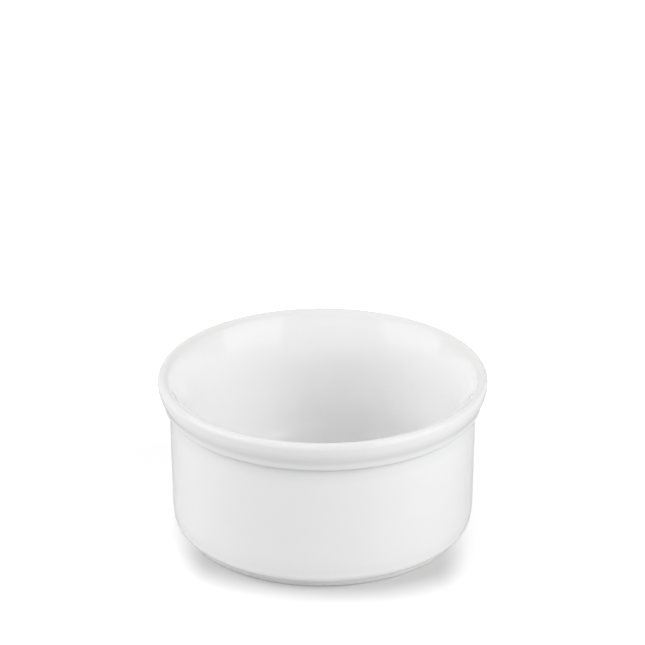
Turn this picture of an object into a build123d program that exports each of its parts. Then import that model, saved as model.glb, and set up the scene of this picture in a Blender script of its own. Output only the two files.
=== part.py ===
from build123d import *
import os
from math import cos, radians, sin

# A round, straight-sided ramekin of glazed porcelain with a rolled rim.
# It stands on z = 0 with its axis on Z, and the origin is the middle of its foot.
# Lengths are in millimetres and angles in degrees.
# The outline is that of the glazed dish, and the clay lies one coat of glaze inside it.

# Overall size
rim_diameter = 90.0  # across the widest circle of the rolled rim
height = 45.5  # from the table to the crest of the rim

# Walls
wall_thickness = 3.8  # straight wall just under the rim, glaze included
base_thickness = 3.8  # between the floor of the dish and the recess under it
glaze_thickness = 0.3
wall_draft = 1.0  # lean of the outside wall, wider at the top
inner_draft = 2.0  # lean of the inside wall

# Rolled lip, from the crest outwards and inwards
lip_crest_radius = 0.9
lip_crest_turn = 50.0
lip_edge_radius = 1.9
lip_inner_radius = 2.3
flare_angle = 30.0  # lean of the mouth where it leaves the lip

# Underside of the rim, down to the wall
shoulder_radius = 7.9
shoulder_angle = 25.6  # lean of the slope under the widest circle
shoulder_length = 1.15
groove_radius = 3.0
bead_angle = 8.3  # lean of the bead's face
bead_face = 0.9
bead_radius = 0.73
ledge_angle = 80.0  # how far the bead's underside has turned from upright
ledge_width = 0.55
crease_radius = 0.35

# Base of the wall
low_bend_radius = 22.0
low_bend_turn = 9.8
base_round_radius = 2.6
inner_corner_radius = 10.0

# Foot ring
foot_height = 2.2  # from the table to the underside of the wall's round
foot_step = 0.1  # flat stretch between the wall's round and the foot ring
foot_taper = 4.0
foot_edge_radius = 0.5
foot_neck_radius = 0.35
foot_flat_width = 1.8  # flat band that stands on the table
recess_depth = 1.8
recess_taper = 20.0
recess_fillet_radius = 1.0
bare_foot_height = 0.8  # the glaze stops this far above the table


def straight(path, length):
    """Carry a path straight on."""
    last = path[-1]
    path.append(Line(last @ 1, last @ 1 + length * (last % 1)))


def bend(path, radius, turn):
    """Carry a path on along a tangent arc; a positive turn goes to the left."""
    last = path[-1]
    path.append(JernArc(last @ 1, last % 1, radius, turn))


def outside_path():
    """The outline from the crest of the rim over the outside and under the foot to the axis."""
    lip_width = (
        lip_crest_radius * sin(radians(lip_crest_turn))
        + lip_edge_radius * (1 - cos(radians(90 - lip_crest_turn)))
    )
    crest = (rim_diameter / 2 - lip_width, height)

    # over the lip to the widest circle
    path = [JernArc(crest, (1, 0), lip_crest_radius, -lip_crest_turn)]
    bend(path, lip_edge_radius, lip_crest_turn - 90)

    # in under the rim, through the groove and over the bead to the crease
    bend(path, shoulder_radius, -shoulder_angle)
    straight(path, shoulder_length)
    bend(path, groove_radius, shoulder_angle - bead_angle)
    straight(path, bead_face)
    bend(path, bead_radius, bead_angle - ledge_angle)
    straight(path, ledge_width)
    bend(path, crease_radius, ledge_angle - wall_draft)
    wall_top = path[-1] @ 1

    # down the wall, which ends where the slack bend and the tight round reach the foot's height
    lean = radians(wall_draft)
    bent = radians(wall_draft + low_bend_turn)
    low_bend_drop = low_bend_radius * (sin(bent) - sin(lean))
    base_round_drop = base_round_radius * (1 - sin(bent))
    wall_drop = wall_top.Y - foot_height - low_bend_drop - base_round_drop
    straight(path, wall_drop / cos(lean))
    bend(path, low_bend_radius, -low_bend_turn)
    bend(path, base_round_radius, wall_draft + low_bend_turn - 90)

    # foot ring: outer side, flat band and inner side
    taper = radians(foot_taper)
    rounds_drop = (foot_neck_radius + foot_edge_radius) * (1 - sin(taper))
    straight(path, foot_step)
    bend(path, foot_neck_radius, 90 - foot_taper)
    straight(path, (foot_height - rounds_drop) / cos(taper))
    bend(path, foot_edge_radius, foot_taper - 90)
    straight(path, foot_flat_width)
    taper = radians(recess_taper)
    rounds_rise = (foot_edge_radius + recess_fillet_radius) * (1 - sin(taper))
    bend(path, foot_edge_radius, recess_taper - 90)
    straight(path, (recess_depth - rounds_rise) / cos(taper))
    bend(path, recess_fillet_radius, 90 - recess_taper)

    # across the recess to the axis
    straight(path, (path[-1] @ 1).X)
    return path, wall_top


def inside_path(crest, wall_top):
    """The outline from the crest of the rim down the inside and across the floor to the axis."""
    floor_height = recess_depth + base_thickness
    lean = radians(inner_draft)
    flare = radians(flare_angle)
    path = [JernArc(crest, (-1, 0), lip_inner_radius, 90 - flare_angle)]

    # the mouth bends from the lip's lean to the wall's over the width that is left between them
    flare_width = (path[-1] @ 1).X - (wall_top.X - wall_thickness)
    bend(path, flare_width / (cos(lean) - cos(flare)), flare_angle - inner_draft)

    # down the wall, round the corner and across the floor
    corner_drop = inner_corner_radius * (1 - sin(lean))
    wall_drop = (path[-1] @ 1).Y - floor_height - corner_drop
    straight(path, wall_drop / cos(lean))
    bend(path, inner_corner_radius, inner_draft - 90)
    straight(path, (path[-1] @ 1).X)
    return path


def half_section():
    """One half of the glazed dish, cut through its axis, with the radius as X and the height as Y."""
    outside, wall_top = outside_path()
    inside = inside_path(outside[0] @ 0, wall_top)
    axis = Line(outside[-1] @ 1, inside[-1] @ 1)
    return make_face(Wire(outside + [axis] + inside))


def turned(face):
    """A half section, stood up and turned once round the axis."""
    return revolve(Plane.XZ * face, Axis.Z, 360)


def write(node, solid):
    solid.label = node
    export_step(solid, f"parts/{node}.step")
    print(node, "volume", round(solid.volume), "mm3")


dish = half_section()

# The clay is a coat of glaze smaller than the dish, save for the foot ring, which is bare.
# The coat is taken off the whole section, so that the axis stays in the clay.
whole_section = dish + mirror(dish, Plane.YZ)
half_plane = Pos(rim_diameter / 4, height / 2) * Rectangle(rim_diameter / 2, height)
foot_band = Pos(rim_diameter / 4, bare_foot_height / 2) * Rectangle(rim_diameter / 2, bare_foot_height)
clay = offset(whole_section, amount=-glaze_thickness, kind=Kind.ARC) & half_plane
clay = clay + (dish & foot_band)
base_coat, dish_coat = (dish - clay).faces().sort_by(Axis.Y)

os.makedirs("parts", exist_ok=True)
write("porcelain_body", turned(clay))
write("glaze_coat", turned(dish_coat))
write("base_glaze", turned(base_coat))
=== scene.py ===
from math import cos, pi, radians, sin, tan

import bpy
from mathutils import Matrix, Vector


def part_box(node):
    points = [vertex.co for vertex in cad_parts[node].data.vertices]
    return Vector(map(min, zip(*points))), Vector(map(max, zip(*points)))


# A white glazed porcelain ramekin on a white table, in a white room with soft lamps.
# The glaze mirrors the table, the room and two of the lamps as they are lit; the camera sees
# the table and the room as plain white.
# Lengths are in metres and angles in degrees. The dish stands on z = 0 with its axis on Z.

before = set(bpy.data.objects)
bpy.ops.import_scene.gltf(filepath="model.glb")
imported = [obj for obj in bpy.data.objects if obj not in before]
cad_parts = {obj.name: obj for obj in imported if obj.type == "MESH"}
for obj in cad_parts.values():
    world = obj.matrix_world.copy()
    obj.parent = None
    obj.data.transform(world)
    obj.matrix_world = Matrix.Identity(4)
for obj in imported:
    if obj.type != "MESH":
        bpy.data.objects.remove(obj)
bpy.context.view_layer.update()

# Camera
PHOTO_SIDE = 645  # pixels along each side of the picture
FOCAL_PIXELS = 3637.8
SENSOR_WIDTH = 36.0  # millimetres, as the lens is
CAMERA_BACK = 0.900  # in front of the dish's axis
CAMERA_SIDE = -0.00007
CAMERA_HEIGHT = 0.4635
CAMERA_PITCH = 24.11  # below level

# Circles round the dish's axis that its finishes follow, and how far their effect reaches
GLAZE_LOW, GLAZE_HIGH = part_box("glaze_coat")
GLAZE_LINE = GLAZE_LOW[2]  # the foot ring is bare below this height
LIP = dict(Height=GLAZE_HIGH[2] - 0.0010, Radius=GLAZE_HIGH[0] - 0.0020, Reach=0.0040)
GROOVE = dict(Height=0.0400, Radius=0.0430, Reach=0.0036)  # between the bead and the rolled rim, where shade is painted
CREASE = dict(Height=0.0362, Radius=0.0435, Reach=0.0050)  # just outside the crease under the bead, where shade is painted
CORNER = dict(Height=0.0080, Radius=0.0345, Reach=0.0090)  # where the inside wall meets the floor, where shade is painted
ROUND = dict(Height=0.0020, Radius=0.0402, Reach=0.0045)  # under the round at the foot of the wall, for its painted light
GLAZE_EDGE = dict(Height=GLAZE_LINE, Radius=0.0380, Reach=0.0007)  # on the foot ring's outer side
SEEP = dict(Height=GLAZE_LINE, Radius=0.0352, Reach=0.0006)  # on the foot ring's inner side

# Glaze
GLAZE_COLOUR = (0.850, 0.850, 0.850)
THIN_GLAZE_AND_LIP_SHADE_COLOUR = (0.808, 0.806, 0.802)  # lip and glaze line, where the clay shows a little; on the lip it is also painted shade that tones down its light
POOLED_GLAZE_AND_SHADE_COLOUR = (0.787, 0.790, 0.792)  # painted shade in the hollows, where the glaze also pools a little
CORNER_SHARE = 0.3  # of that colour in the inside corner
FOOT_BOUNCE_LIGHT_COLOUR = (0.925, 0.925, 0.925)  # painted light on the round above the foot, in place of the white table's bounce
GLAZE_ROUGHNESS = dict(size=0.012, detail=2.0, start=0.35, end=0.75, low=0.045, high=0.080)
CLOUD_COLOUR = (0.838, 0.838, 0.836)
CLOUDS = dict(size=0.030, detail=3.0, start=0.45, end=0.75)
RIPPLE = dict(size=0.011, detail=1.0, height=0.000040)
PEEL = dict(size=0.0022, detail=1.0, height=0.0000022)  # the fine dimples of a fired glaze
FLECK_COLOUR = (0.62, 0.57, 0.50)
GLAZE_FLECKS = dict(Cell=0.0050, Size=0.00016, Share=0.35)
GLAZE_FLECK_STRENGTH = 0.4
PIT_DEPTH = 0.000012  # of the glaze over a fleck

# Bare clay
CLAY_COLOUR = (0.795, 0.788, 0.775)
CLAY_ROUGHNESS = (0.72, 0.92)  # without sand and with it
SANDY_COLOUR = (0.745, 0.728, 0.700)
SAND = dict(size=0.0007, detail=4.0, start=0.40, end=0.70)
SAND_STRENGTH = 0.6
RUBBED_COLOUR = (0.700, 0.695, 0.685)  # the band that rubs on tables
RUBS = dict(size=0.0050, detail=5.0, start=0.42, end=0.62)
RUB_REACH = 0.00020  # above the table
CLAY_FLECKS = dict(Cell=0.0016, Size=0.00014, Share=0.5)
CLAY_FLECK_STRENGTH = 0.7
GRAIN = dict(size=0.0004, detail=3.0, height=0.000030)
TURNING_STEP = 0.00045  # from one turning mark to the next
TURNING_HEIGHT = 0.0000025

# Lamps: azimuth goes from the camera's side of the dish round to the right
LAMP_DISTANCE = 1.2
LAMP_AIM = Vector((0.0, 0.0, 0.03))
SOFTBOXES = {  # these are mirrored in the glaze
    "right_softbox": dict(azimuth=58.0, elevation=20.0, wide=48.0, high=42.0, brightness=1.52),
    "left_softbox": dict(azimuth=-75.0, elevation=21.0, wide=50.0, high=38.0, brightness=1.33),
}
FILLS = {  # these only shade it
    "left_key": dict(azimuth=-90.0, elevation=34.0, wide=50.0, high=20.0, brightness=4.55),
    "right_key": dict(azimuth=74.0, elevation=34.0, wide=30.0, high=20.0, brightness=3.4),
    "front_fill": dict(azimuth=32.0, elevation=40.0, wide=50.0, high=28.0, brightness=2.0),
    "back_fill": dict(azimuth=180.0, elevation=22.0, wide=60.0, high=30.0, brightness=2.4),
}
ROOM_BRIGHTNESS = 0.28
MIRRORED_ROOM_BRIGHTNESS = 0.47  # as the glaze shows it

# Table
TABLE_RADIUS = 3.0
TABLE_SIDES = 96
TABLE_COLOUR = (0.65, 0.65, 0.65)
TABLE_GLOW = 0.415  # lifts the table to white for the camera
SHADOW_GLOW = 0.07  # and less in a patch round the dish, which paints a shadow there over the lamps' real one
SHADOW_SHIFT = 0.0015  # the shadow's middle lies this far to the right of the dish's
SHADOW_FLATNESS = 0.9  # its depth as a share of its width
SHADOW_RADIUS = (0.0385, 0.0530)  # from where it fades to where it ends
SHADOW_SIDE = (0.031, 0.0415)  # the same, to the left and right of the dish's middle
FAR_RADIUS = (0.06, 0.20)  # where the lamps light the table less and less, the glow makes up for it

WHITE = (1.0, 1.0, 1.0)
MIX_FIRST, MIX_SECOND, MIX_RESULT = 6, 7, 2  # the places of the Mix node's colour sockets


# Wiring a finish

def new_finish(name):
    """An empty material with one Principled shader on its surface."""
    material = bpy.data.materials.new(name)
    material.use_nodes = True
    tree = material.node_tree
    tree.nodes.clear()
    output = tree.nodes.new("ShaderNodeOutputMaterial")
    shader = tree.nodes.new("ShaderNodeBsdfPrincipled")
    tree.links.new(shader.outputs["BSDF"], output.inputs["Surface"])
    return material, tree, shader


def wire(tree, value, socket):
    """Link a socket to another, or set it to a number or a colour."""
    if isinstance(value, bpy.types.NodeSocket):
        tree.links.new(value, socket)
    elif socket.type == "RGBA":
        socket.default_value = (*value, 1.0)
    else:
        socket.default_value = value


def add_node(tree, kind, values, **settings):
    """A node with its settings, and its input sockets wired by name."""
    node = tree.nodes.new(kind)
    for name, setting in settings.items():
        setattr(node, name, setting)
    for name, value in values.items():
        wire(tree, value, node.inputs[name])
    return node


def arithmetic(tree, operation, first, second=0.0):
    node = add_node(tree, "ShaderNodeMath", {}, operation=operation)
    wire(tree, first, node.inputs[0])
    wire(tree, second, node.inputs[1])
    return node.outputs["Value"]


def spread(tree, value, start, end, low=0.0, high=1.0):
    """Ease from low, where the value is at start, to high, where it is at end."""
    values = {"Value": value, "From Min": start, "From Max": end, "To Min": low, "To Max": high}
    node = add_node(tree, "ShaderNodeMapRange", values, interpolation_type="SMOOTHSTEP")
    return node.outputs["Result"]


def noise(tree, place, size, detail):
    """Soft noise from 0 to 1, with lumps about as large as size."""
    values = {"Vector": place, "Scale": 1 / size, "Detail": detail}
    return add_node(tree, "ShaderNodeTexNoise", values).outputs["Fac"]


def patches(tree, place, size, detail, start, end, low=0.0, high=1.0):
    """Soft patches: low where the noise is below start, and high where it is above end."""
    return spread(tree, noise(tree, place, size, detail), start, end, low, high)


def waves(tree, place, size, detail, height):
    """The height of an uneven surface, in metres."""
    return arithmetic(tree, "MULTIPLY", noise(tree, place, size, detail), height)


def tinted(tree, base, colour, mask):
    """A base colour with another one laid over it through a mask."""
    node = add_node(tree, "ShaderNodeMix", {"Factor": mask}, data_type="RGBA")
    wire(tree, base, node.inputs[MIX_FIRST])
    wire(tree, colour, node.inputs[MIX_SECOND])
    return node.outputs[MIX_RESULT]


def add_relief(tree, height, shader):
    """Tilt the surface by a height in metres."""
    bump = add_node(tree, "ShaderNodeBump", {"Height": height, "Distance": 1.0})
    wire(tree, bump.outputs["Normal"], shader.inputs["Normal"])


def new_effect(name, inputs):
    """A node group with value sockets and a mask, for effects that both finishes use."""
    tree = bpy.data.node_groups.new(name, "ShaderNodeTree")
    for socket in inputs:
        tree.interface.new_socket(name=socket, in_out="INPUT", socket_type="NodeSocketFloat")
    tree.interface.new_socket(name="Mask", in_out="OUTPUT", socket_type="NodeSocketFloat")
    return tree, tree.nodes.new("NodeGroupInput"), tree.nodes.new("NodeGroupOutput")


def effect_mask(tree, effect, values):
    """The mask that an effect gives for a set of values."""
    return add_node(tree, "ShaderNodeGroup", values, node_tree=effect).outputs["Mask"]


def object_place(tree):
    return tree.nodes.new("ShaderNodeTexCoord").outputs["Object"]


def distance(tree, across, along):
    """How far apart two places are, from their distances in two directions square to each other."""
    squares = [arithmetic(tree, "POWER", step, 2.0) for step in (across, along)]
    return arithmetic(tree, "SQRT", arithmetic(tree, "ADD", *squares))


def parts_and_radius(tree, place):
    """The three coordinates of a place, and its distance from the dish's axis."""
    parts = add_node(tree, "ShaderNodeSeparateXYZ", {"Vector": place}).outputs
    return parts, distance(tree, parts["X"], parts["Y"])


# Effects that both finishes use

def ring_effect():
    """A mask that is 1 on a circle round the dish's axis and fades out at a distance from it."""
    tree, entry, result = new_effect("ring_mask", ("Height", "Radius", "Reach"))
    parts, radius = parts_and_radius(tree, object_place(tree))
    up = arithmetic(tree, "SUBTRACT", parts["Z"], entry.outputs["Height"])
    out = arithmetic(tree, "SUBTRACT", radius, entry.outputs["Radius"])
    mask = spread(tree, distance(tree, up, out), entry.outputs["Reach"], 0.0)
    wire(tree, mask, result.inputs["Mask"])
    return tree


def fleck_effect():
    """Small round specks, each in its own cell, of which only a share are filled."""
    tree, entry, result = new_effect("fired_flecks", ("Cell", "Size", "Share"))
    scale = arithmetic(tree, "DIVIDE", 1.0, entry.outputs["Cell"])
    values = {"Vector": object_place(tree), "Scale": scale}
    cells = add_node(tree, "ShaderNodeTexVoronoi", values)
    edge = arithmetic(tree, "DIVIDE", entry.outputs["Size"], entry.outputs["Cell"])
    dot = spread(tree, cells.outputs["Distance"], edge, 0.0)
    lot = add_node(tree, "ShaderNodeSeparateColor", {"Color": cells.outputs["Color"]})
    filled = arithmetic(tree, "LESS_THAN", lot.outputs["Red"], entry.outputs["Share"])
    wire(tree, arithmetic(tree, "MULTIPLY", dot, filled), result.inputs["Mask"])
    return tree


# Finishes

def glaze_finish(ring, flecks):
    """Glossy white glaze: thin on the edges, painted shade on the lip and in the hollows, where the
    glaze also pools a little, and painted light on the round above the foot.
    """
    material, tree, shader = new_finish("white_gloss_glaze")
    place = object_place(tree)

    colour = tinted(tree, GLAZE_COLOUR, CLOUD_COLOUR, patches(tree, place, **CLOUDS))
    # painted shade darkens the crease, the groove under the rim and the inside corner, where the
    # glaze also pools a little
    hollows = [effect_mask(tree, ring, circle) for circle in (CREASE, GROOVE)]
    corner = arithmetic(tree, "MULTIPLY", effect_mask(tree, ring, CORNER), CORNER_SHARE)
    pooled_and_shaded = arithmetic(tree, "MAXIMUM", arithmetic(tree, "MAXIMUM", *hollows), corner)
    colour = tinted(tree, colour, POOLED_GLAZE_AND_SHADE_COLOUR, pooled_and_shaded)
    # painted light: the round above the foot is lighter, standing in for the light the table
    # bounces onto it
    colour = tinted(tree, colour, FOOT_BOUNCE_LIGHT_COLOUR, effect_mask(tree, ring, ROUND))
    # the lip is darker partly from thin glaze and partly as painted shade; the glaze line only from
    # thin glaze
    edges = [effect_mask(tree, ring, circle) for circle in (LIP, GLAZE_EDGE)]
    colour = tinted(tree, colour, THIN_GLAZE_AND_LIP_SHADE_COLOUR, arithmetic(tree, "MAXIMUM", *edges))
    specks = effect_mask(tree, flecks, GLAZE_FLECKS)
    speckled = arithmetic(tree, "MULTIPLY", specks, GLAZE_FLECK_STRENGTH)
    colour = tinted(tree, colour, FLECK_COLOUR, speckled)
    wire(tree, colour, shader.inputs["Base Color"])
    wire(tree, patches(tree, place, **GLAZE_ROUGHNESS), shader.inputs["Roughness"])

    uneven = arithmetic(tree, "ADD", waves(tree, place, **RIPPLE), waves(tree, place, **PEEL))
    pits = arithmetic(tree, "MULTIPLY", specks, PIT_DEPTH)
    add_relief(tree, arithmetic(tree, "SUBTRACT", uneven, pits), shader)
    return material


def biscuit_finish(ring, flecks):
    """Bare fired clay: matt, sandy, with rub marks on the band that stands on the table."""
    material, tree, shader = new_finish("bare_biscuit")
    place = object_place(tree)
    parts, radius = parts_and_radius(tree, place)

    sand = patches(tree, place, **SAND)
    sandy = arithmetic(tree, "MULTIPLY", sand, SAND_STRENGTH)
    colour = tinted(tree, CLAY_COLOUR, SANDY_COLOUR, sandy)
    low = spread(tree, parts["Z"], RUB_REACH, 0.0)
    rubbed = arithmetic(tree, "MULTIPLY", patches(tree, place, **RUBS), low)
    colour = tinted(tree, colour, RUBBED_COLOUR, rubbed)
    specks = effect_mask(tree, flecks, CLAY_FLECKS)
    speckled = arithmetic(tree, "MULTIPLY", specks, CLAY_FLECK_STRENGTH)
    colour = tinted(tree, colour, FLECK_COLOUR, speckled)
    colour = tinted(tree, colour, GLAZE_COLOUR, effect_mask(tree, ring, SEEP))
    wire(tree, colour, shader.inputs["Base Color"])
    wire(tree, spread(tree, sand, 0.0, 1.0, *CLAY_ROUGHNESS), shader.inputs["Roughness"])

    turning = arithmetic(tree, "SINE", arithmetic(tree, "MULTIPLY", radius, 2 * pi / TURNING_STEP))
    marks = arithmetic(tree, "MULTIPLY", turning, TURNING_HEIGHT)
    add_relief(tree, arithmetic(tree, "ADD", waves(tree, place, **GRAIN), marks), shader)
    return material


def table_finish():
    """Matt white, and plain white for the camera outside a patch round the dish, where less glow
    paints a shadow over the lamps' own.
    """
    material, tree, shader = new_finish("white_table")
    wire(tree, TABLE_COLOUR, shader.inputs["Base Color"])
    parts, radius = parts_and_radius(tree, object_place(tree))
    # the glow is held back in a patch shaped like the dish's shadow: painted shadow over the real
    # cast one
    across = arithmetic(tree, "SUBTRACT", parts["X"], SHADOW_SHIFT)
    across = arithmetic(tree, "MULTIPLY", across, SHADOW_FLATNESS)
    near = spread(tree, distance(tree, across, parts["Y"]), *SHADOW_RADIUS, 1.0, 0.0)
    between = spread(tree, arithmetic(tree, "ABSOLUTE", parts["X"]), *SHADOW_SIDE, 1.0, 0.0)
    shadow = arithmetic(tree, "MULTIPLY", near, between)
    held_back = arithmetic(tree, "MULTIPLY", shadow, TABLE_GLOW - SHADOW_GLOW)
    glow = spread(tree, radius, *FAR_RADIUS, TABLE_GLOW, 1.0)
    glow = arithmetic(tree, "SUBTRACT", glow, held_back)
    camera_ray = tree.nodes.new("ShaderNodeLightPath").outputs["Is Camera Ray"]
    wire(tree, WHITE, shader.inputs["Emission Color"])
    wire(tree, arithmetic(tree, "MULTIPLY", glow, camera_ray), shader.inputs["Emission Strength"])
    shader.inputs["Roughness"].default_value = 1.0
    shader.inputs["Specular IOR Level"].default_value = 0.0
    return material


def dress(node, material):
    """Give a piece one finish all over."""
    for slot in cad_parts[node].material_slots:
        slot.material = material


# Stage

def add_table():
    bpy.ops.mesh.primitive_circle_add(vertices=TABLE_SIDES, radius=TABLE_RADIUS, fill_type="NGON")
    table = bpy.context.object
    table.name = "table"
    table.data.materials.append(table_finish())


def direction(azimuth, elevation):
    """A unit vector from the dish to a lamp."""
    turn, rise = radians(azimuth), radians(elevation)
    return Vector((cos(rise) * sin(turn), -cos(rise) * cos(turn), sin(rise)))


def add_lamp(name, mirrored, azimuth, elevation, wide, high, brightness):
    """A soft lamp that is seen from the dish under the angles wide and high."""
    lamp = bpy.data.lights.new(name, "AREA")
    lamp.shape = "RECTANGLE"
    lamp.size = 2 * LAMP_DISTANCE * tan(radians(wide / 2))
    lamp.size_y = 2 * LAMP_DISTANCE * tan(radians(high / 2))
    lamp.energy = brightness * pi * lamp.size * lamp.size_y
    holder = bpy.data.objects.new(name, lamp)
    away = direction(azimuth, elevation)
    holder.location = LAMP_AIM + LAMP_DISTANCE * away
    holder.rotation_euler = (-away).to_track_quat("-Z", "Y").to_euler()
    holder.visible_camera = False
    holder.visible_glossy = mirrored
    bpy.context.scene.collection.objects.link(holder)


def light_room():
    """White for the camera, dimmer as the glaze mirrors it and dimmest as it lights the dish."""
    world = bpy.data.worlds.new("white_room")
    bpy.context.scene.world = world
    world.use_nodes = True
    tree = world.node_tree
    rays = tree.nodes.new("ShaderNodeLightPath").outputs
    background = tree.nodes["Background"]
    wire(tree, WHITE, background.inputs["Color"])
    mirrored = arithmetic(tree, "MULTIPLY", rays["Is Glossy Ray"], MIRRORED_ROOM_BRIGHTNESS)
    strength = arithmetic(tree, "MAXIMUM", rays["Is Camera Ray"], mirrored)
    strength = arithmetic(tree, "MAXIMUM", strength, ROOM_BRIGHTNESS)
    wire(tree, strength, background.inputs["Strength"])


def add_camera():
    """The camera that was fitted to the dish's edges in the photograph."""
    camera = bpy.data.cameras.new("camera")
    camera.sensor_fit = "HORIZONTAL"
    camera.sensor_width = SENSOR_WIDTH
    camera.lens = FOCAL_PIXELS / PHOTO_SIDE * SENSOR_WIDTH
    holder = bpy.data.objects.new("camera", camera)
    holder.location = (CAMERA_SIDE, -CAMERA_BACK, CAMERA_HEIGHT)
    holder.rotation_euler = (radians(90 - CAMERA_PITCH), 0.0, 0.0)
    bpy.context.scene.collection.objects.link(holder)
    bpy.context.scene.camera = holder


ring_mask = ring_effect()
fired_flecks = fleck_effect()
glaze = glaze_finish(ring_mask, fired_flecks)
dress("glaze_coat", glaze)
dress("base_glaze", glaze)
dress("porcelain_body", biscuit_finish(ring_mask, fired_flecks))

add_table()
for name, lamp in SOFTBOXES.items():
    add_lamp(name, True, **lamp)
for name, lamp in FILLS.items():
    add_lamp(name, False, **lamp)
light_room()
add_camera()
bpy.context.scene.view_settings.view_transform = "Standard"
